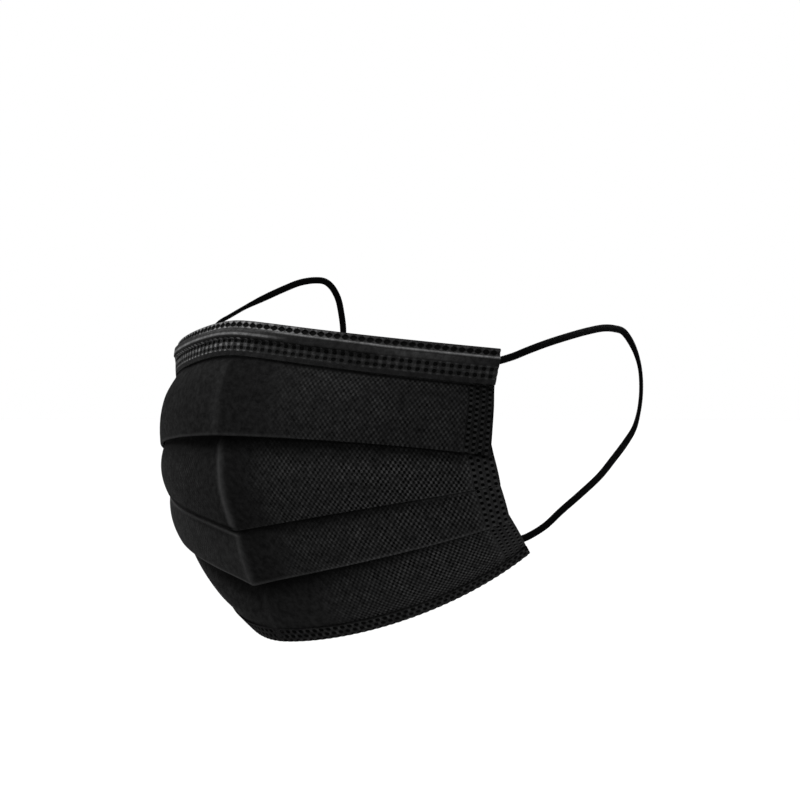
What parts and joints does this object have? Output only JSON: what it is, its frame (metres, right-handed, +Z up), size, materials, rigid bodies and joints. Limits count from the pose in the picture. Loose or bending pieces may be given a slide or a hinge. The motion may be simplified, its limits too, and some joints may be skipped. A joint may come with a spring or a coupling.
{
  "type": "disposable face mask",
  "caption": "Pleated disposable cloth face mask, opened as worn, with a nose wire under the top hem, a folded bottom hem and elastic ear loops.",
  "frame": {"origin": "middle of the mask's top edge, on the outer skin, where the mask sits on the bridge of the nose", "axes": "+X to the right seen from the front (the wearer's left), +Y from the mask towards the wearer, +Z up"},
  "size_m": [0.1454, 0.1321, 0.1214],
  "materials": {
    "cloth": "matte black spunbond cloth with a fine lattice of bond dots",
    "hem": "matte black spunbond cloth, folded over and pressed with weld dots",
    "wire": "plastic-coated soft wire",
    "elastic": "flat knitted black elastic"
  },
  "bodies": {
    "root": {"pleated_panel": "cloth", "top_hem": "hem", "bottom_hem": "hem", "nose_wire": "wire", "ear_loop_right": "elastic", "ear_loop_left": "elastic"}
  },
  "joints": []
}
